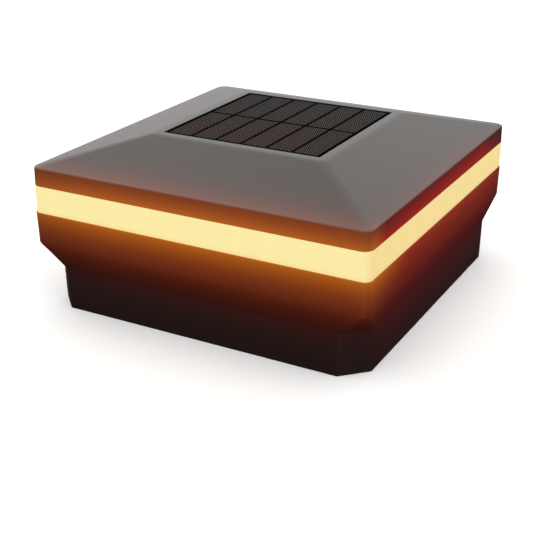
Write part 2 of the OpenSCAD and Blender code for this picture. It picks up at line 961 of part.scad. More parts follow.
module door_screws() {
    color("silver")
        at_door_screws()
            translate([0, 0, deck_z])
                screw(door_screw_d, door_screw_l, door_screw_head_d, door_screw_head_h);
}

module housing_screws() {
    color("silver")
        at_corners()
            translate([0, 0, screw_seat_z])
                screw(screw_d, screw_l, screw_head_d, screw_head_h);
}

module board_screws() {
    color("silver")
        at_board_holes()
            translate([0, 0, board_top_z])
                rotate([180, 0, 0])
                    screw(board_screw_d, board_screw_l, board_screw_head_d, board_screw_head_h);
}

module panel_lead() {
    color("#b03030")
        lead(panel_lead_route, [1, 0, 0]);
}

module led_lead() {
    color("#d8d8d8")
        lead(led_lead_route, [1, 0, 0]);
}

module battery_leads() {
    color("#b03030")
        for (side = [0, 1])
            mirror([side, 0, 0])
                lead(battery_lead_route, [0, 0, 1]);
}

// ---------------------------------------------------------------- nodes

top_cover();
light_diffuser();
base_housing();
cover_gasket();
base_gasket();
panel_pad();
panel_backing();
panel_sheet();
for (i = [1:cell_total])
    solar_cell(i - 1);
reflector();
for (i = [0:3])
    led_board(i);
for (i = [0:3])
    leds(i);
led_links();
control_board();
charge_chip();
choke_coil();
capacitor();
lead_sockets();
switch_body();
switch_slider();
battery_cell();
contact_plate();
contact_spring();
battery_door();
door_gasket();
door_screws();
housing_screws();
board_screws();
panel_lead();
led_lead();
battery_leads();
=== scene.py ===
import math

import bpy
import numpy as np
from mathutils import Matrix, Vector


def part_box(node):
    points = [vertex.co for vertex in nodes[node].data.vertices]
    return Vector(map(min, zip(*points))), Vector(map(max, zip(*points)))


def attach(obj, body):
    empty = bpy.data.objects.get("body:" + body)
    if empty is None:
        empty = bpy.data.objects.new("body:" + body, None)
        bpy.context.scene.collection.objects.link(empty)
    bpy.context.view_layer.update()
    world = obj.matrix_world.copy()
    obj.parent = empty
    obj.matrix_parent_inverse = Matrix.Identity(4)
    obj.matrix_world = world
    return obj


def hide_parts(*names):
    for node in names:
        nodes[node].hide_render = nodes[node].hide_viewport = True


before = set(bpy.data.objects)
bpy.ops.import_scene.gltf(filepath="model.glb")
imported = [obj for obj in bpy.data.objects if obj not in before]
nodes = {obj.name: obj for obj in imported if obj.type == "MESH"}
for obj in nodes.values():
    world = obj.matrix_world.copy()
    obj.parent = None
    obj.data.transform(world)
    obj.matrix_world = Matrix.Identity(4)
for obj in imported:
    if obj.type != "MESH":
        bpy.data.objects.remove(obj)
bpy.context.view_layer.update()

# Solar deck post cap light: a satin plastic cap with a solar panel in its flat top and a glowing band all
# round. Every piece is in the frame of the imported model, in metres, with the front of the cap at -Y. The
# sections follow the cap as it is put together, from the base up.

MM = 0.001


# ------------------------------------------------------------------------------------- camera and studio
# The camera stands as the photograph's did: turned round from the front, raised above the horizon, and
# aimed below the cap, which so lies in the upper part of the picture. The floor is plain and pale. The
# light is one soft dome: bright overhead, dark below the horizon, and paper white where the camera sees it.

turned = math.radians(28.13)
raised = math.radians(18.23)
distance = 429.1 * MM
aim_height = 49.2 * MM
pan = math.radians(0.64)
tilt = math.radians(-5.70)

stand = Matrix.Rotation(turned, 4, "Z") @ Matrix.Rotation(math.pi / 2 - raised, 4, "X")
camera = bpy.data.objects.new("camera", bpy.data.cameras.new("camera"))
camera.data.sensor_width = 36
camera.data.lens = 72.04
camera.data.clip_start = 0.01
camera.matrix_world = (
    Matrix.Translation((0, 0, aim_height)) @ stand @ Matrix.Translation((0, 0, distance))
    @ Matrix.Rotation(pan, 4, "Y") @ Matrix.Rotation(tilt, 4, "X")
)
bpy.context.scene.collection.objects.link(camera)
bpy.context.scene.camera = camera
bpy.context.scene.view_settings.view_transform = "Standard"


def linear(hex_colour):
    """The linear colour of an sRGB hex value such as "#4a4542", with alpha 1."""
    srgb = np.array([int(hex_colour[i:i + 2], 16) for i in (1, 3, 5)]) / 255
    return (*np.where(srgb <= 0.04045, srgb / 12.92, ((srgb + 0.055) / 1.055) ** 2.4), 1.0)


def add(tree, kind, inputs=None, stops=(), **settings):
    """Adds a node to a material's tree, with its settings, and returns it. An input is named, or numbered
    where names repeat, and is given a value, an output, or a node whose first output feeds it. The stops
    of a ramp are pairs of position and colour, or of position and grey."""
    node = tree.nodes.new(kind)
    for key, value in settings.items():
        setattr(node, key, value)
    for key, source in (inputs or {}).items():
        used = [socket for socket in node.inputs if socket.enabled]
        socket = used[key] if isinstance(key, int) else next(s for s in used if s.name == key)
        if isinstance(source, bpy.types.Node):
            source = next(output for output in source.outputs if output.enabled)
        if isinstance(source, bpy.types.NodeSocket):
            tree.links.new(source, socket)
        else:
            socket.default_value = source
    for i, (position, shade) in enumerate(stops):
        stop = node.color_ramp.elements[i] if i < 2 else node.color_ramp.elements.new(position)
        stop.position = position
        stop.color = shade if isinstance(shade, tuple) else (shade, shade, shade, 1)
    return node


def grained(name, dark, light, size, relief, finish, stretch=(1, 1, 1)):
    """A material whose colour drifts between two shades and whose surface is raised by the same noise.

    The grain is `size` mm across and `relief` mm high. A stretch draws it out, so that 0.1 along an axis
    makes it ten times as long there. Finish holds the shader's other settings."""
    material = bpy.data.materials.new(name)
    material.use_nodes = True
    tree = material.node_tree
    tree.nodes.clear()
    place = add(tree, "ShaderNodeTexCoord").outputs["Object"]
    drawn = add(tree, "ShaderNodeMapping", {"Vector": place, "Scale": stretch})
    grain = add(tree, "ShaderNodeTexNoise", {"Vector": drawn, "Scale": 1 / (size * MM), "Detail": 3.0})
    shade = add(tree, "ShaderNodeMix", {
        "Factor": grain, "A": linear(dark), "B": linear(light),
    }, data_type="RGBA")
    raised_grain = add(tree, "ShaderNodeBump", {"Height": grain, "Distance": relief * MM})
    shader = add(tree, "ShaderNodeBsdfPrincipled", {"Base Color": shade, "Normal": raised_grain, **finish})
    add(tree, "ShaderNodeOutputMaterial", {"Surface": shader})
    return material, tree, shader


def piece(name, vertices, faces, material, smooth=True):
    """A new object from arrays of points and faces, placed at the origin."""
    mesh = bpy.data.meshes.new(name)
    mesh.from_pydata(np.asarray(vertices).tolist(), [], np.asarray(faces).tolist())
    mesh.materials.append(material)
    mesh.shade_smooth() if smooth else mesh.shade_flat()
    made = bpy.data.objects.new(name, mesh)
    bpy.context.scene.collection.objects.link(made)
    return made


# Pale floor paint, rolled on, which gives the eye nothing but an even white
floor_paint, tree, shader = grained("rolled_floor_paint", "#f5f8fc", "#f8fafe", 8.0, 0.01, {
    "Roughness": 0.9, "Specular IOR Level": 0.1,
})
# From below the floor is clear, so that the underside of the cap shows
over = tree.nodes["Material Output"].inputs["Surface"]
clear = add(tree, "ShaderNodeBsdfTransparent")
below = add(tree, "ShaderNodeNewGeometry").outputs["Backfacing"]
tree.links.new(add(tree, "ShaderNodeMixShader", {0: below, 1: shader, 2: clear}).outputs[0], over)
floor_reach = 20.0
corners = np.array([[-1, -1, 0], [1, -1, 0], [1, 1, 0], [-1, 1, 0]]) * floor_reach
floor = piece("floor", corners, [(0, 1, 2, 3)], floor_paint)
floor.visible_glossy = False
floor.visible_diffuse = False
floor.visible_shadow = False

dome = bpy.data.worlds.new("studio_dome")
bpy.context.scene.world = dome
dome.use_nodes = True
tree = dome.node_tree
tree.nodes.clear()
way = add(tree, "ShaderNodeTexCoord").outputs["Generated"]
upwards = add(tree, "ShaderNodeSeparateXYZ", {"Vector": way}).outputs["Z"]
height = add(tree, "ShaderNodeMapRange", {"Value": upwards, "From Min": -1.0, "From Max": 1.0})
# Over the left back of the set the dome stays pale well below the horizon, elsewhere it ends there
behind = add(tree, "ShaderNodeValToRGB", {"Fac": height}, stops=[
    (0.30, 0.02), (0.38, 0.48), (0.47, 0.8), (0.53, 1.22), (0.65, 1.66), (0.78, 1.45), (0.88, 1.5),
])
before = add(tree, "ShaderNodeValToRGB", {"Fac": height}, stops=[
    (0.30, 0.02), (0.44, 0.04), (0.54, 0.8), (0.66, (0.83, 0.8, 0.77, 1)), (0.75, (1.5, 1.47, 1.42, 1)),
    (0.9, (1.55, 1.5, 1.42, 1)),
])
left_back = add(tree, "ShaderNodeVectorMath", {0: way, 1: (-0.5, 0.866, 0.0)}, operation="DOT_PRODUCT")
round_the_set = add(tree, "ShaderNodeMapRange", {
    "Value": left_back, "From Min": 0.78, "From Max": 0.95,
}, interpolation_type="SMOOTHSTEP")
brightness = add(tree, "ShaderNodeMix", {"Factor": round_the_set, "A": before, "B": behind}, data_type="RGBA")
# A soft patch far below the front right lights the underside of the cap for views from below
front_right_below = add(tree, "ShaderNodeVectorMath", {
    0: way, 1: (0.35, -0.50, -0.79),
}, operation="DOT_PRODUCT")
patch = add(tree, "ShaderNodeMapRange", {
    "Value": front_right_below, "From Min": 0.93, "From Max": 0.98,
}, interpolation_type="SMOOTHSTEP")
brightness = add(tree, "ShaderNodeMix", {
    "Factor": patch, "A": brightness.outputs["Result"], "B": (0.9, 0.9, 0.9, 1),
}, data_type="RGBA")
soft = add(tree, "ShaderNodeBackground", {"Color": brightness, "Strength": 1.0})
paper = add(tree, "ShaderNodeBackground", {"Color": linear("#fdfdfd"), "Strength": 1.0})
seen = add(tree, "ShaderNodeLightPath").outputs["Is Camera Ray"]
both = add(tree, "ShaderNodeMixShader", {0: seen, 1: soft, 2: paper})
add(tree, "ShaderNodeOutputWorld", {"Surface": both})


# ------------------------------------------------------------------------------------------ base housing
# The base is one injection moulding of brown black ABS: the skirt that slips over the post, the sloping
# step and the shoulder outside, and the deck that carries the works inside. Its mould was spark-eroded,
# which leaves a satin grain and no gloss.

cap_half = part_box("base_housing")[1].x / MM
band_low, band_high = 38.7, 49.2


def dress(material, *names):
    """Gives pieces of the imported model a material."""
    for name in names:
        nodes[name].data.materials.clear()
        nodes[name].data.materials.append(material)


def in_mm(tree):
    """Where a point lies on its piece, in millimetres, as the outputs X, Y and Z."""
    place = add(tree, "ShaderNodeTexCoord").outputs["Object"]
    scaled = add(tree, "ShaderNodeVectorMath", {0: place, "Scale": 1 / MM}, operation="SCALE")
    return add(tree, "ShaderNodeSeparateXYZ", {"Vector": scaled}).outputs


def facing(tree):
    """Which way the surface faces, as the outputs X, Y and Z."""
    return add(tree, "ShaderNodeSeparateXYZ", {
        "Vector": add(tree, "ShaderNodeTexCoord").outputs["Normal"],
    }).outputs


def sideways(tree, normal):
    """How far the surface faces left or right rather than to the front or back, from 0 to 1:
    x squared over x squared plus y squared, with x and y the parts of its normal."""
    across = add(tree, "ShaderNodeMath", {0: normal["X"], 1: normal["X"]}, operation="MULTIPLY")
    along = add(tree, "ShaderNodeMath", {0: normal["Y"], 1: normal["Y"]}, operation="MULTIPLY")
    both = add(tree, "ShaderNodeMath", {0: across, 1: along}, operation="ADD")
    return add(tree, "ShaderNodeMath", {
        0: across, 1: add(tree, "ShaderNodeMath", {0: both, 1: 0.0001}, operation="ADD"),
    }, operation="DIVIDE")


def past_corner(tree, x, y):
    """How far round its face a point is from the front right corner, or from the one opposite, in mm:
    the cap's width less the distance between its x and its y."""
    apart = add(tree, "ShaderNodeMath", {0: x, 1: y}, operation="SUBTRACT")
    apart = add(tree, "ShaderNodeMath", {0: apart}, operation="ABSOLUTE")
    return add(tree, "ShaderNodeMath", {0: 2 * cap_half, 1: apart}, operation="SUBTRACT")


def paint_band_glow(tree, shader, edge, depth, turn, amber, crimson):
    """Paints a glow as emission on the plastic beside the band: painted light for the band's spill.

    It starts at the band's edge, `edge` mm high, and fades as start * exp(-distance / reach), a colour
    channel at a time, with the distance counted along the surface, up or down and then inwards. The front
    and back glow amber, and the sides turn to crimson over the `turn` mm past the corner. Each colour is
    its start, its reach in mm, a ramp of how much a surface gets by how far it faces up, and how much is
    left at the far end of a face, where it wanes. Inner walls, which face the middle or lie more than
    `depth` mm in from the cap's outline, get none."""
    waning = 36.0
    x, y, z = in_mm(tree)
    normal = facing(tree)
    rise = add(tree, "ShaderNodeMath", {0: z, 1: edge}, operation="SUBTRACT")
    rise = add(tree, "ShaderNodeMath", {0: rise}, operation="ABSOLUTE")
    out = add(tree, "ShaderNodeMath", {
        0: add(tree, "ShaderNodeMath", {0: x}, operation="ABSOLUTE"),
        1: add(tree, "ShaderNodeMath", {0: y}, operation="ABSOLUTE"),
    }, operation="MAXIMUM")
    inwards = add(tree, "ShaderNodeMath", {0: cap_half, 1: out}, operation="SUBTRACT")
    # Held at nought or more: a light sample that lands just outside the cap would make the glow run wild
    along_surface = add(tree, "ShaderNodeMath", {
        0: add(tree, "ShaderNodeMath", {0: rise, 1: inwards}, operation="ADD"), 1: 0.0,
    }, operation="MAXIMUM")
    corner = past_corner(tree, x, y)
    painted_spill = []
    for start, reach, upwards, far_end in (amber, crimson):
        kept_per_mm = np.exp(-1 / np.array(reach))
        kept = add(tree, "ShaderNodeGamma", {"Color": (*kept_per_mm, 1), "Gamma": along_surface})
        full = add(tree, "ShaderNodeVectorMath", {0: kept, 1: start}, operation="MULTIPLY")
        painted_by_facing = add(tree, "ShaderNodeValToRGB", {"Fac": normal["Z"]}, stops=upwards)
        left = add(tree, "ShaderNodeMapRange", {
            "Value": corner, "From Min": 2 * cap_half, "From Max": 2 * cap_half - waning, "To Min": far_end,
        }, interpolation_type="SMOOTHSTEP")
        share = add(tree, "ShaderNodeMath", {0: painted_by_facing, 1: left}, operation="MULTIPLY")
        painted_spill.append(add(tree, "ShaderNodeVectorMath", {0: full, "Scale": share}, operation="SCALE"))
    turned_away = add(tree, "ShaderNodeMapRange", {
        "Value": corner, "From Min": turn[0], "From Max": turn[1],
    }, interpolation_type="SMOOTHSTEP")
    red = add(tree, "ShaderNodeMath", {0: sideways(tree, normal), 1: turned_away}, operation="MULTIPLY")
    tint = add(tree, "ShaderNodeMix", {"Factor": red, "A": painted_spill[0], "B": painted_spill[1]}, data_type="RGBA")
    outwards = add(tree, "ShaderNodeMath", {
        0: add(tree, "ShaderNodeMath", {0: x, 1: normal["X"]}, operation="MULTIPLY"),
        1: add(tree, "ShaderNodeMath", {0: y, 1: normal["Y"]}, operation="MULTIPLY"),
    }, operation="ADD")
    outside = add(tree, "ShaderNodeMapRange", {"Value": outwards, "From Min": 1.0, "From Max": 8.0})
    shell = add(tree, "ShaderNodeMath", {0: inwards, 1: depth}, operation="LESS_THAN")
    amount = add(tree, "ShaderNodeMath", {0: outside, 1: shell}, operation="MULTIPLY")
    glow = add(tree, "ShaderNodeVectorMath", {0: tint, "Scale": amount}, operation="SCALE")
    tree.links.new(glow.outputs[0], shader.inputs["Emission Color"])
    shader.inputs["Emission Strength"].default_value = 1.0


# Spark-eroded ABS: brown black, satin, with a grain of a quarter of a millimetre
base_abs, tree, shader = grained("spark_eroded_abs_brown_black", "#100d0c", "#15110f", 0.25, 0.008, {
    "Roughness": 0.42, "IOR": 1.5,
})
# Painted glow: emission on the base's shoulder and skirt stands in for the band's light beside it
paint_band_glow(
    tree, shader, band_low, depth=9.0, turn=(4.0, 38.0),
    amber=((0.42, 0.105, 0.001), (8.6, 5.5, 8.6), [(0.0, 1.0), (1.0, 1.2)], 0.8),
    crimson=((0.255, 0.024, 0.003), (13.5, 6.0, 20.0), [(0.0, 1.0), (1.0, 1.2)], 0.8),
)
dress(base_abs, "base_housing")


# ---------------------------------------------------------------------------------------- gaskets and pad
# Two square rings of black silicone rubber seal the band to the cover and the base, a third seals the
# battery door, and a frame of foam tape bonds the panel. Rubber is matt and faintly cloudy, foam is pitted.

silicone, tree, shader = grained("moulded_silicone_rubber", "#0f0f10", "#19191a", 1.5, 0.01, {
    "Roughness": 0.6, "IOR": 1.41,
})
dress(silicone, "cover_gasket", "base_gasket", "door_gasket")

foam, tree, shader = grained("closed_cell_foam_tape", "#141414", "#2a2a29", 0.5, 0.08, {"Roughness": 0.95})
dress(foam, "panel_pad")


# ------------------------------------------------------------------------------------------ slide switch
# The switch is a bought one: a case pressed of tinned steel, folded round a white acetal knob that pokes
# through the deck, soldered to the board above. The knob is moulded, and its tip is ribbed for the thumb.

tinned_steel, tree, shader = grained("pressed_tinned_steel", "#a9acad", "#c3c5c4", 0.6, 0.004, {
    "Roughness": 0.34, "Metallic": 1.0,
}, stretch=(0.1, 1, 1))
dress(tinned_steel, "switch_body")

# Acetal is a milky white with a waxy sheen
acetal, tree, shader = grained("moulded_white_acetal", "#dcdcd8", "#e8e8e4", 1.0, 0.003, {
    "Roughness": 0.32, "IOR": 1.48,
})
rib_pitch, rib_height = 0.7, 0.05
phase = add(tree, "ShaderNodeMath", {0: in_mm(tree)["X"], 1: 2 * math.pi / rib_pitch}, operation="MULTIPLY")
rib = add(tree, "ShaderNodeMath", {0: phase}, operation="SINE")
ribbed = add(tree, "ShaderNodeBump", {"Height": rib, "Distance": rib_height * MM})
tree.links.new(ribbed.outputs[0], shader.inputs["Normal"])
dress(acetal, "switch_slider")


# ----------------------------------------------------------------------------------------- control board
# A small glass-fibre board charges the cell by day and drives the lights by night. It is etched, coated
# with green solder mask and drilled, and carries a charge chip, a choke, a capacitor and three sockets.

def inlay(tree, shader, mask, colour, roughness, metallic=0.0):
    """Lets a second finish show where the mask is 1: its colour, its roughness and how metallic it is."""
    for name, over in (("Base Color", linear(colour)), ("Roughness", roughness), ("Metallic", metallic)):
        socket = shader.inputs[name]
        under = socket.links[0].from_socket if socket.is_linked else socket.default_value
        kind = "RGBA" if name == "Base Color" else "FLOAT"
        shown = add(tree, "ShaderNodeMix", {"Factor": mask, "A": under, "B": over}, data_type=kind)
        tree.links.new(next(output for output in shown.outputs if output.enabled), socket)


def off_axis(tree, centre, across):
    """How far a point is, in mm, from the line through a centre, counted only across that line:
    the length of (point - centre) * across, with across 1 on the axes that count and 0 on the other."""
    place = add(tree, "ShaderNodeTexCoord").outputs["Object"]
    apart = add(tree, "ShaderNodeVectorMath", {0: place, 1: np.array(centre) * MM}, operation="SUBTRACT")
    flat = add(tree, "ShaderNodeVectorMath", {0: apart, 1: np.array(across) / MM}, operation="MULTIPLY")
    return add(tree, "ShaderNodeVectorMath", {0: flat}, operation="LENGTH").outputs["Value"]


# Solder mask is a clear green lacquer: it is paler over the copper tracks, and tinned at the drilled holes
solder_mask, tree, shader = grained("green_solder_mask_on_glass_fibre", "#14492a", "#195531", 2.0, 0.004, {
    "Roughness": 0.3, "IOR": 1.5,
})
place = add(tree, "ShaderNodeTexCoord").outputs["Object"]
track_length, track_pitch, track_half = 17.78, 1.27, 0.12
tracks = add(tree, "ShaderNodeTexBrick", {
    "Vector": place, "Scale": 1 / MM, "Mortar Size": track_half, "Mortar Smooth": 0.1,
    "Brick Width": track_length, "Row Height": track_pitch,
}, offset=0.29, squash=0.6)
inlay(tree, shader, tracks.outputs["Fac"], "#2c7a48", 0.3)
# Holes lie on a grid, `hole_radius` of its pitch in size, and most places on the grid are left undrilled
hole_pitch, hole_radius, undrilled = 2.54, 0.2, 0.82
holes = add(tree, "ShaderNodeTexVoronoi", {
    "Vector": place, "Scale": 1 / (hole_pitch * MM), "Randomness": 0.0,
}, voronoi_dimensions="2D")
hole = add(tree, "ShaderNodeMath", {0: holes.outputs["Distance"], 1: hole_radius}, operation="LESS_THAN")
drilled = add(tree, "ShaderNodeMath", {
    0: add(tree, "ShaderNodeTexWhiteNoise", {"Vector": holes.outputs["Position"]}, noise_dimensions="2D"),
    1: undrilled,
}, operation="GREATER_THAN")
tinned = add(tree, "ShaderNodeMath", {0: hole, 1: drilled}, operation="MULTIPLY")
inlay(tree, shader, tinned, "#c9c9c4", 0.3, metallic=1.0)
# The sawn edge shows the bare glass fibre
up = add(tree, "ShaderNodeMath", {0: facing(tree)["Z"]}, operation="ABSOLUTE")
edge = add(tree, "ShaderNodeMath", {0: up, 1: 0.5}, operation="LESS_THAN")
inlay(tree, shader, edge, "#8f8a52", 0.7)
dress(solder_mask, "control_board")

# The chip is transfer-moulded black epoxy, matt as slate, on tinned legs, with a dot at its first leg
epoxy, tree, shader = grained("transfer_moulded_black_epoxy", "#121213", "#1c1c1d", 0.2, 0.006, {
    "Roughness": 0.55, "IOR": 1.55,
})
chip_x, chip_y, body_half = 8.0, -29.0, 2.0
dot_x, dot_y, dot_radius = chip_x - 2.3, chip_y - 1.3, 0.3
from_middle = add(tree, "ShaderNodeMath", {0: in_mm(tree)["Y"], 1: chip_y}, operation="SUBTRACT")
from_middle = add(tree, "ShaderNodeMath", {0: from_middle}, operation="ABSOLUTE")
legs = add(tree, "ShaderNodeMath", {0: from_middle, 1: body_half + 0.01}, operation="GREATER_THAN")
inlay(tree, shader, legs, "#c4c4c0", 0.3, metallic=1.0)
from_dot = off_axis(tree, (dot_x, dot_y, 0), (1, 1, 0))
dot = add(tree, "ShaderNodeMath", {0: from_dot, 1: dot_radius}, operation="LESS_THAN")
inlay(tree, shader, dot, "#3a3a3b", 0.3)
dress(epoxy, "charge_chip")

# The choke is a bobbin of sintered ferrite, dark and dull, wound between its flanges with enamelled wire
ferrite, tree, shader = grained("sintered_ferrite", "#2a2a2c", "#3a3a3c", 0.3, 0.01, {"Roughness": 0.6})
z = in_mm(tree)["Z"]
winding_middle, winding_half, wire = 42.8, 1.48, 0.4
wound = add(tree, "ShaderNodeMath", {0: z, 1: winding_middle, 2: winding_half}, operation="COMPARE")
upright = add(tree, "ShaderNodeMath", {
    0: add(tree, "ShaderNodeMath", {0: facing(tree)["Z"]}, operation="ABSOLUTE"), 1: 0.5,
}, operation="LESS_THAN")
copper = add(tree, "ShaderNodeMath", {0: wound, 1: upright}, operation="MULTIPLY")
inlay(tree, shader, copper, "#a8572c", 0.28, metallic=1.0)
phase = add(tree, "ShaderNodeMath", {0: z, 1: math.pi / wire}, operation="MULTIPLY")
turns = add(tree, "ShaderNodeMath", {
    0: add(tree, "ShaderNodeMath", {0: phase}, operation="SINE"),
}, operation="ABSOLUTE")
turns = add(tree, "ShaderNodeMath", {0: turns, 1: copper}, operation="MULTIPLY")
relief = add(tree, "ShaderNodeBump", {"Height": turns, "Distance": 0.5 * wire * MM})
tree.links.new(relief.outputs[0], shader.inputs["Normal"])
dress(ferrite, "choke_coil")

# The capacitor is a drawn aluminium can in a shrunk sleeve, with a pale stripe down its negative side
sleeve, tree, shader = grained("shrunk_pet_sleeve", "#141d2c", "#1a2536", 1.5, 0.003, {
    "Roughness": 0.3, "IOR": 1.57,
})
can_x, can_y, can_top = -14.0, -19.0, 51.3
stripe_offset, lid_radius, lid_depth, score_half = 3.4, 3.2, 0.3, 0.12
x, y, z = in_mm(tree)
stripe = add(tree, "ShaderNodeMath", {0: x, 1: can_x + stripe_offset}, operation="GREATER_THAN")
inlay(tree, shader, stripe, "#8e98a4", 0.3)
off_can_axis = off_axis(tree, (can_x, can_y, 0), (1, 1, 0))
unsleeved = add(tree, "ShaderNodeMath", {0: off_can_axis, 1: lid_radius}, operation="LESS_THAN")
top = add(tree, "ShaderNodeMath", {0: z, 1: can_top - lid_depth}, operation="GREATER_THAN")
lid = add(tree, "ShaderNodeMath", {0: unsleeved, 1: top}, operation="MULTIPLY")
inlay(tree, shader, lid, "#c8cacc", 0.25, metallic=1.0)
# Two scores cross on the lid, where the can would vent
score = add(tree, "ShaderNodeMath", {
    0: add(tree, "ShaderNodeMath", {0: x, 1: can_x, 2: score_half}, operation="COMPARE"),
    1: add(tree, "ShaderNodeMath", {0: y, 1: can_y, 2: score_half}, operation="COMPARE"),
}, operation="MAXIMUM")
scored = add(tree, "ShaderNodeMath", {0: score, 1: lid}, operation="MULTIPLY")
inlay(tree, shader, scored, "#77797b", 0.4, metallic=1.0)
dress(sleeve, "capacitor")

# The sockets are moulded of natural nylon, a warm milky white
nylon, tree, shader = grained("moulded_natural_nylon", "#ddd6c4", "#e8e2d2", 1.2, 0.004, {
    "Roughness": 0.4, "IOR": 1.53,
})
dress(nylon, "lead_sockets")


# ------------------------------------------------------------------------------------ battery and contacts
# One lithium cell lies in the bay, in a blue shrunk sleeve that leaves its steel ends bare. It is held
# between a flat contact and a coiled one, both formed of nickel-plated spring steel.

cell_sleeve, tree, shader = grained("shrunk_pvc_sleeve_blue", "#2b5680", "#346390", 4.0, 0.003, {
    "Roughness": 0.28, "IOR": 1.53,
})
cell_low, cell_high = (np.array(corner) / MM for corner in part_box("battery_cell"))
cell_middle = (cell_low + cell_high) / 2
cell_radius = (cell_high[1] - cell_low[1]) / 2
button_length, sleeve_fold = 1.0, 1.4
endwise = add(tree, "ShaderNodeMath", {0: facing(tree)["X"]}, operation="ABSOLUTE")
end_face = add(tree, "ShaderNodeMath", {0: endwise, 1: 0.7}, operation="GREATER_THAN")
unsleeved = add(tree, "ShaderNodeMath", {
    0: off_axis(tree, cell_middle, (0, 1, 1)), 1: cell_radius - sleeve_fold,
}, operation="LESS_THAN")
metal_end = add(tree, "ShaderNodeMath", {0: end_face, 1: unsleeved}, operation="MULTIPLY")
button = add(tree, "ShaderNodeMath", {
    0: in_mm(tree)["X"], 1: cell_high[0] - button_length + 0.01,
}, operation="GREATER_THAN")
bare = add(tree, "ShaderNodeMath", {0: metal_end, 1: button}, operation="MAXIMUM")
inlay(tree, shader, bare, "#b9bab8", 0.25, metallic=1.0)
dress(cell_sleeve, "battery_cell")

# Nickel plate is a warm silver, drawn out in fine lines by the forming
nickel, tree, shader = grained("nickel_plated_spring_steel", "#b0aa9c", "#c6c0b2", 0.4, 0.003, {
    "Roughness": 0.27, "Metallic": 1.0,
}, stretch=(1, 1, 0.15))
dress(nickel, "contact_plate", "contact_spring")


# -------------------------------------------------------------------------------- reflector and light boards
# Behind the band runs a channel of white polycarbonate. A narrow board clips to each side of it, with
# eight warm white lamps in a row, and flexible jumpers join the boards at three of the corners.

reflector_pc, tree, shader = grained("moulded_white_polycarbonate", "#e6e6e2", "#eeeeea", 0.3, 0.006, {
    "Roughness": 0.45, "IOR": 1.58,
})
dress(reflector_pc, "reflector")

lamp_pitch, lamp_height = 13.0, 43.8


def from_lamp(tree):
    """How far a point is from the nearest lamp, in mm, along its side of the cap and in height:
    the remainder of the way along by the pitch, less half the pitch, and z less the lamps' height."""
    x, y, z = in_mm(tree)
    along = add(tree, "ShaderNodeMix", {
        "Factor": sideways(tree, facing(tree)), "A": x, "B": y,
    }, data_type="FLOAT")
    wrapped = add(tree, "ShaderNodeMath", {0: along, 1: lamp_pitch, 2: 0.0}, operation="WRAP")
    beside = add(tree, "ShaderNodeMath", {0: wrapped, 1: lamp_pitch / 2}, operation="SUBTRACT")
    above = add(tree, "ShaderNodeMath", {0: z, 1: lamp_height}, operation="SUBTRACT")
    return (add(tree, "ShaderNodeMath", {0: offset}, operation="ABSOLUTE") for offset in (beside, above))


# White lacquer covers the board and its two copper tracks, but not the tinned pads at each lamp
lacquer, tree, shader = grained("white_lacquered_board", "#e2e0d8", "#eae8e0", 1.0, 0.004, {"Roughness": 0.4})
track_offset, track_half = 2.7, 0.4
pad_offset, pad_half_width, pad_half_height = 2.1, 0.5, 1.1
beside, above = from_lamp(tree)
track = add(tree, "ShaderNodeMath", {0: above, 1: track_offset, 2: track_half}, operation="COMPARE")
inlay(tree, shader, track, "#f1efe6", 0.4)
pad = add(tree, "ShaderNodeMath", {
    0: add(tree, "ShaderNodeMath", {0: beside, 1: pad_offset, 2: pad_half_width}, operation="COMPARE"),
    1: add(tree, "ShaderNodeMath", {0: above, 1: pad_half_height}, operation="LESS_THAN"),
}, operation="MULTIPLY")
inlay(tree, shader, pad, "#c6c6c2", 0.3, metallic=1.0)
dress(lacquer, "led_board_front", "led_board_right", "led_board_back", "led_board_left")

# Each lamp is a white moulded cup with a round window of yellow phosphor, which is lit
phosphor, tree, shader = grained("lamp_cup_and_phosphor", "#e4e2da", "#ecebe4", 0.8, 0.003, {
    "Roughness": 0.35, "Emission Strength": 2.0,
})
beside, above = from_lamp(tree)
across = add(tree, "ShaderNodeCombineXYZ", {"X": beside, "Y": above})
from_centre = add(tree, "ShaderNodeVectorMath", {0: across}, operation="LENGTH").outputs["Value"]
window_radius = 1.1
window = add(tree, "ShaderNodeMath", {0: from_centre, 1: window_radius}, operation="LESS_THAN")
inlay(tree, shader, window, "#e8c860", 0.3)
lit = add(tree, "ShaderNodeMix", {
    "Factor": window, "A": (0, 0, 0, 1), "B": (1.0, 0.75, 0.35, 1),
}, data_type="RGBA")
tree.links.new(lit.outputs["Result"], shader.inputs["Emission Color"])
dress(phosphor, "leds_front", "leds_right", "leds_back", "leds_left")

# The jumpers are amber polyimide film, with two copper tracks that show through it
film, tree, shader = grained("polyimide_film_on_copper", "#9a5e1e", "#ab6b26", 2.0, 0.003, {
    "Roughness": 0.25,
})
track_offset, track_half = 0.9, 0.45
above = add(tree, "ShaderNodeMath", {0: in_mm(tree)["Z"], 1: lamp_height}, operation="SUBTRACT")
above = add(tree, "ShaderNodeMath", {0: above}, operation="ABSOLUTE")
track = add(tree, "ShaderNodeMath", {0: above, 1: track_offset, 2: track_half}, operation="COMPARE")
inlay(tree, shader, track, "#cf8a48", 0.3, metallic=0.6)
dress(film, "led_links")


# ----------------------------------------------------------------------------------------------- leads
# Three leads join the works: panel to board, board to lights, and battery to board. Each is a twin, two
# thin stranded wires side by side in extruded PVC, with a stripe along one wire to tell the poles apart.

wire_radius = 0.39


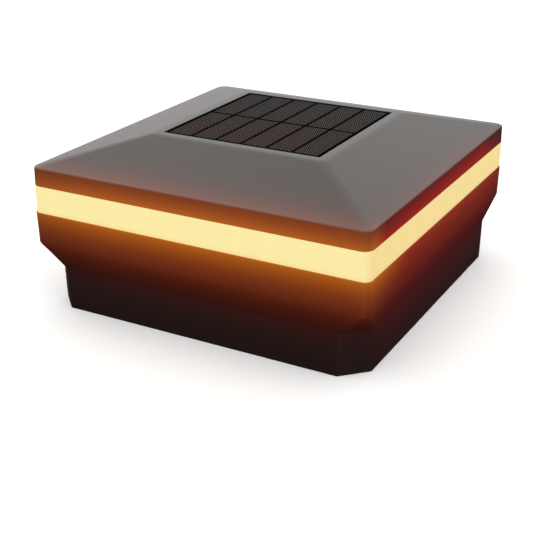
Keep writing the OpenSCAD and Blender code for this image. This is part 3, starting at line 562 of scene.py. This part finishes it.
def skin(rings):
    """Closed skins over rings of points, as one set of vertices and triangles.

    The rings come as an array of count, rows, points round a ring, and 3, and go round to the right seen
    along their row. Neighbouring rings are joined, and each end is closed by a fan to its ring's middle."""
    count, rows, around, _ = rings.shape
    ends = rings[:, [0, -1]].mean(axis=2)
    points = np.concatenate([rings.reshape(count, -1, 3), ends], axis=1)
    start = np.arange(rows - 1)[:, None] * around
    here = np.arange(around)
    after = (here + 1) % around
    a, b = start + here, start + after
    walls = [np.stack([a, b, b + around], axis=-1), np.stack([a, b + around, a + around], axis=-1)]
    last = (rows - 1) * around
    middle = np.full(around, rows * around)
    fans = [
        np.stack([middle, after, here], axis=-1),
        np.stack([middle + 1, last + here, last + after], axis=-1),
    ]
    faces = np.concatenate([part.reshape(-1, 3) for part in walls + fans])
    shifts = np.arange(count)[:, None, None] * points.shape[1]
    return points.reshape(-1, 3), (faces + shifts).reshape(-1, 3)


def twin_lead(name, node, slot, material, across, *routes):
    """A lead of two wires side by side along each route, in mm.

    The route's corners are cut four times: each side from a to b gives 3/4 a + 1/4 b and 1/4 a + 3/4 b.
    A wire's skin is centre + r * (n cos t + b sin t), where b is `across` made square to the route, n is
    b x the way along, and the centre lies half the pair's width to either side along b."""
    wires = []
    for route in routes:
        route = np.array(route, dtype=float)
        for _ in range(4):
            a, b = route[:-1], route[1:]
            cut = np.stack([0.75 * a + 0.25 * b, 0.25 * a + 0.75 * b], axis=1).reshape(-1, 3)
            route = np.concatenate([route[:1], cut, route[-1:]])
        ahead = np.gradient(route, axis=0)
        ahead /= np.linalg.norm(ahead, axis=1, keepdims=True)
        beside = across - (ahead @ across)[:, None] * ahead
        beside /= np.linalg.norm(beside, axis=1, keepdims=True)
        upright = np.cross(beside, ahead)
        turn = np.linspace(0, 2 * np.pi, 16, endpoint=False)[None, :, None]
        ring = wire_radius * (np.cos(turn) * upright[:, None] + np.sin(turn) * beside[:, None])
        wires += [(route + side * wire_radius * beside)[:, None] + ring for side in (-1, 1)]
    points, faces = skin(np.stack(wires))
    made = piece(name, points * MM, faces, material)
    # The stripe runs along the second wire of each pair, on the points nearest its outer side
    striped = np.zeros((len(wires), len(points) // len(wires)))
    striped[1::2, :-2] = np.tile(np.sin(turn.ravel()) > 0.9, len(route))
    stripe = made.data.attributes.new("stripe", "FLOAT", "POINT")
    stripe.data.foreach_set("value", striped.ravel())
    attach(made, "housing")
    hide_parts(node)


# Soft PVC is glossy and just uneven enough to catch the light in patches
red_pvc, tree, shader = grained("extruded_pvc_red", "#93231f", "#a52b25", 1.5, 0.01, {
    "Roughness": 0.3, "IOR": 1.53,
})
stripe = add(tree, "ShaderNodeAttribute", attribute_name="stripe").outputs["Fac"]
inlay(tree, shader, stripe, "#1d1b1b", 0.3)
white_pvc, tree, shader = grained("extruded_pvc_white", "#d9d9d5", "#e6e6e2", 1.5, 0.01, {
    "Roughness": 0.3, "IOR": 1.53,
})
stripe = add(tree, "ShaderNodeAttribute", attribute_name="stripe").outputs["Fac"]
inlay(tree, shader, stripe, "#5a5d60", 0.3)

along_x, along_z = np.array([1.0, 0, 0]), np.array([0, 0, 1.0])
panel_route = [
    (-4, -20, 62.6), (-4, -20, 57.8), (-4, -30, 52.8), (-4, -48, 52.8),
    (-4, -51, 47.3), (-4, -49, 43.3), (-4, -44, 43.3), (-4, -42, 43.3),
]
lights_route = [(-18, -58.3, 43.8), (-18, -54.3, 43.8), (-18, -48, 43.3), (-18, -42, 43.3)]
battery_route = np.array([
    (38.95, 24, 48.3), (42.95, 24, 48.3), (44.95, 16, 47.3), (40.95, 5, 44.3),
    (24, 1, 43.3), (6, 3, 43.3), (1.4, 1, 43.3), (1.4, -4, 43.3),
])
twin_lead("panel_twin_lead", "panel_lead", "lead_red", red_pvc, along_x, panel_route)
twin_lead("lights_twin_lead", "led_lead", "lead_white", white_pvc, along_x, lights_route)
twin_lead("battery_twin_leads", "battery_leads", "lead_red", red_pvc, along_z,
          battery_route, battery_route * (-1, 1, 1))


# ------------------------------------------------------------------------------------------- glowing band
# The band is a square ring of opal acrylic, lit from behind by eight lamps to a side. The opal spreads
# the light so well that the lamps only just tell as a slow ripple, and its lower edge warms to peach.

opal_acrylic, tree, shader = grained("opal_acrylic", "#5a4f3e", "#5e5341", 2.0, 0.0, {
    "Roughness": 0.35, "IOR": 1.49, "Emission Strength": 1.0,
})
x, y, z = in_mm(tree)
side = sideways(tree, facing(tree))
cream = add(tree, "ShaderNodeMix", {
    "Factor": side, "A": (0.90, 0.78, 0.355, 1), "B": (0.855, 0.67, 0.285, 1),
}, data_type="RGBA")
peach = add(tree, "ShaderNodeMix", {
    "Factor": side, "A": (0.90, 0.70, 0.30, 1), "B": (0.83, 0.62, 0.26, 1),
}, data_type="RGBA")
peach_height = 2.2
low_edge = add(tree, "ShaderNodeMapRange", {
    "Value": z, "From Min": band_low + peach_height, "From Max": band_low, "To Min": 0.0, "To Max": 1.0,
}, interpolation_type="SMOOTHSTEP")
warm = add(tree, "ShaderNodeMix", {"Factor": low_edge, "A": cream, "B": peach}, data_type="RGBA")
along = add(tree, "ShaderNodeMix", {"Factor": side, "A": x, "B": y}, data_type="FLOAT")
phase = add(tree, "ShaderNodeMath", {0: along, 1: 2 * math.pi / lamp_pitch}, operation="MULTIPLY")
swing = add(tree, "ShaderNodeMath", {0: phase}, operation="COSINE")
ripple = add(tree, "ShaderNodeMapRange", {
    "Value": swing, "From Min": -1.0, "From Max": 1.0, "To Min": 1.008, "To Max": 0.992,
})
glow = add(tree, "ShaderNodeVectorMath", {0: warm, "Scale": ripple}, operation="SCALE")
tree.links.new(glow.outputs[0], shader.inputs["Emission Color"])
dress(opal_acrylic, "light_diffuser")


# ------------------------------------------------------------------------------------------------- cover
# The cover is moulded of dark taupe ABS with the same spark-eroded grain: an upright rim, four slopes,
# and a flat top with the panel's pocket. Its slopes take the pale sky, its rim a glow painted as emission.

cover_abs, tree, shader = grained("spark_eroded_abs_dark_taupe", "#221e1b", "#282320", 0.25, 0.008, {
    "Roughness": 0.38, "IOR": 1.5,
})
# Painted glow: the soft edge between rim and slope gets less, and the slopes only half as much crimson
paint_band_glow(
    tree, shader, band_high, depth=60.0, turn=(2.0, 14.0),
    amber=(
        (0.43, 0.10, 0.002), (7.8, 5.5, 8.6),
        [(0.05, 1.0), (0.3, 0.7), (0.8, 0.7), (0.95, 0.85)], 0.8,
    ),
    crimson=(
        (0.31, 0.006, 0.002), (6.8, 4.0, 8.0),
        [(0.05, 1.0), (0.3, 0.6), (0.8, 0.55), (0.95, 0.55)], 0.25,
    ),
)
dress(cover_abs, "top_cover")


# ------------------------------------------------------------------------------------------- solar panel
# The panel is twelve dark silicon cells on a black lacquered board, under a clear laminate whose matt,
# embossed face throws back no sky. The board shows as the black lines between the cells and round them.

panel_board, tree, shader = grained("black_lacquered_glass_fibre_board", "#070606", "#0c0b0a", 0.6, 0.01, {
    "Roughness": 0.5, "Specular IOR Level": 0.0,
})
dress(panel_board, "panel_backing")

first_cell = [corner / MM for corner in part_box("solar_cell_1")]
second_cell = [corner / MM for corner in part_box("solar_cell_2")]
column_pitch = second_cell[0].x - first_cell[0].x
dots_across, dots_along = 0.8, 2.6


def from_line(tree):
    """How far a point is from the nearest gap between two columns of cells, in mm, and its y in mm."""
    x, y, _ = in_mm(tree)
    wrapped = add(tree, "ShaderNodeMath", {0: x, 1: column_pitch / 2, 2: -column_pitch / 2}, operation="WRAP")
    return wrapped, y


# The dots are painted glints: bright base colour standing in for light off the embossed laminate
def paint_glints(tree, shader):
    """Lays a lattice of bright dots over a shader's colour, each row shifted by half a dot's spacing. The
    dots are warm on the front row of cells and turn cooler towards the back."""
    across, along = from_line(tree)
    spread = add(tree, "ShaderNodeMapping", {
        "Vector": add(tree, "ShaderNodeCombineXYZ", {"X": across, "Y": along}),
        "Scale": (1 / dots_across, 1 / dots_along, 0),
    })
    lattice = add(tree, "ShaderNodeMapping", {
        "Vector": spread, "Rotation": (0, 0, math.pi / 4), "Scale": (math.sqrt(2), math.sqrt(2), 0),
    })
    dots = add(tree, "ShaderNodeTexVoronoi", {
        "Vector": lattice, "Scale": 1.0, "Randomness": 0.0,
    }, voronoi_dimensions="2D")
    dot = add(tree, "ShaderNodeValToRGB", {"Fac": dots.outputs["Distance"]}, stops=[(0.10, 1.0), (0.34, 0.0)])
    backwards = add(tree, "ShaderNodeMapRange", {"Value": along, "From Min": -20.0, "From Max": 12.0})
    bright = add(tree, "ShaderNodeMix", {
        "Factor": backwards, "A": linear("#6b5f5e"), "B": linear("#626467"),
    }, data_type="RGBA")
    ground = shader.inputs["Base Color"].links[0].from_socket
    shade = add(tree, "ShaderNodeMix", {"Factor": dot, "A": ground, "B": bright}, data_type="RGBA")
    tree.links.new(shade.outputs["Result"], shader.inputs["Base Color"])


# Silicon: near black, with a lattice of bright dots, painted glints that stand in for the embossed laminate's
# shimmer at arm's length. The dots are drawn larger than the real ones, which are too fine to show.
silicon, tree, shader = grained("silicon_with_painted_glints", "#1f1b19", "#24201e", 3.0, 0.002, {
    "Roughness": 0.45, "Specular IOR Level": 0.0,
})
paint_glints(tree, shader)
cell_count = sum(name.startswith("solar_cell_") for name in nodes)
dress(silicon, *[f"solar_cell_{i}" for i in range(1, cell_count + 1)])

# The laminate bends the light so that cells and board look to lie right in its face, and it is drawn so.
# The cells' edges are etched black, which makes the lines a little wider than the gaps.
laminate, tree, shader = grained("embossed_laminate_over_silicon", "#1f1b19", "#24201e", 3.0, 0.002, {
    "Roughness": 0.45, "Specular IOR Level": 0.0,
})
# The same painted glints lie over the cells drawn on the laminate
paint_glints(tree, shader)
black_edge = 0.2
gap = column_pitch - (first_cell[1].x - first_cell[0].x) + 2 * black_edge
lit_half = -first_cell[0].x - black_edge
x, y, _ = in_mm(tree)
out = add(tree, "ShaderNodeMath", {
    0: add(tree, "ShaderNodeMath", {0: x}, operation="ABSOLUTE"),
    1: add(tree, "ShaderNodeMath", {0: y}, operation="ABSOLUTE"),
}, operation="MAXIMUM")
black = add(tree, "ShaderNodeMath", {0: out, 1: lit_half}, operation="GREATER_THAN")
for offset in from_line(tree):
    line = add(tree, "ShaderNodeMath", {0: offset, 1: 0.0, 2: gap / 2}, operation="COMPARE")
    black = add(tree, "ShaderNodeMath", {0: black, 1: line}, operation="MAXIMUM")
inlay(tree, shader, black, "#070606", 0.5)
dress(laminate, "panel_sheet")


# ----------------------------------------------------------------------------------- door and screws
# The battery door is moulded of the same ABS as the base, and lies flush in the deck. Two small screws
# hold it, four long ones hold the base to the cover, and four short ones hold the control board down.

door_abs, tree, shader = grained("spark_eroded_abs_door", "#100d0c", "#171312", 0.25, 0.008, {
    "Roughness": 0.42, "IOR": 1.5,
})
dress(door_abs, "battery_door")

# Zinc plate is a cool silver with a faint bloom, which the rolled thread breaks into bright lines
zinc, tree, shader = grained("zinc_plated_steel", "#a3a5a6", "#bcbebd", 0.5, 0.004, {
    "Roughness": 0.3, "Metallic": 1.0,
})


def screws(name, node, places, head, shank, pitch, point_up):
    """Pan-head thread-forming screws at several places, all as one piece, in mm.

    Head and shank are each a diameter and a length, and a place is where the head meets its seat. Round
    the axis by t and along it by z, a screw is (r cos t, r sin t, z). On the shank r is the core and one
    ridge per pitch, a peak in the remainder of z / pitch - t / 2 pi, and it narrows to the point. The head
    is r = R * s and z = h * (0.4 + 0.6 * (1 - s ** 4)), less the depth of its cross recess."""
    (head_width, head_height), (width, length) = head, shank
    rows_per_pitch, point_length, core, flank = 9, 0.7 * width, 0.36 * width, 0.22
    turn = np.linspace(0, 2 * np.pi, 48, endpoint=False)[None]
    z = np.linspace(-length, 0, int(length / pitch * rows_per_pitch))[:, None]
    narrowing = np.clip((z + length) / point_length, 0.04, 1)
    fading = np.clip(-z / pitch, 0, 1)
    ridge = np.clip(1 - np.abs((z / pitch - turn / (2 * np.pi)) % 1 - 0.5) / flank, 0, 1)
    thread = narrowing * (core + (width / 2 - core) * ridge * fading)
    share = np.linspace(1, 0.03, 22)[:, None] * np.ones_like(turn)
    across, along = (head_width / 2 * share * wave(turn) for wave in (np.cos, np.sin))
    reach, slot_half, soft = 0.31 * head_width, 0.075 * head_width, 0.05 * head_width
    bars = [
        np.clip((slot_half - abs(short)) / soft + 0.5, 0, 1) * np.clip((reach - abs(long)) / soft + 0.5, 0, 1)
        for short, long in ((across, along), (along, across))
    ]
    recess = 0.6 * head_height * np.maximum(*bars) * (1 - 0.5 * share)
    rim = np.array([0.0, 0.4])[:, None] * head_height * np.ones_like(turn)
    crown = head_height * (0.4 + 0.6 * (1 - share ** 4)) - recess
    radius = np.vstack([thread, head_width / 2 * np.ones_like(rim), head_width / 2 * share[1:]])
    height = np.vstack([z * np.ones_like(turn), rim, crown[1:]])
    screw = np.stack([radius * np.cos(turn), radius * np.sin(turn), height], axis=-1)
    if point_up:
        screw = screw * (1, -1, -1)
    rings = np.array(places, dtype=float)[:, None, None, :] + screw
    points, faces = skin(rings)
    made = piece(name, points * MM, faces, zinc)
    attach(made, "housing")
    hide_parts(node)


screws("board_threaded_screws", "board_screws",
       [(side * 27, -23 + end * 16, 40.3) for side in (-1, 1) for end in (-1, 1)],
       head=(3.8, 1.3), shank=(2.0, 4.5), pitch=0.9, point_up=False)
screws("housing_threaded_screws", "housing_screws",
       [(side * 51, end * 51, 35.9) for side in (-1, 1) for end in (-1, 1)],
       head=(5.6, 2.2), shank=(3.0, 14.0), pitch=1.35, point_up=True)
screws("door_threaded_screws", "door_screws",
       [(side * 42.95, 24, 31.5) for side in (-1, 1)],
       head=(4.4, 1.4), shank=(2.2, 6.0), pitch=0.95, point_up=True)
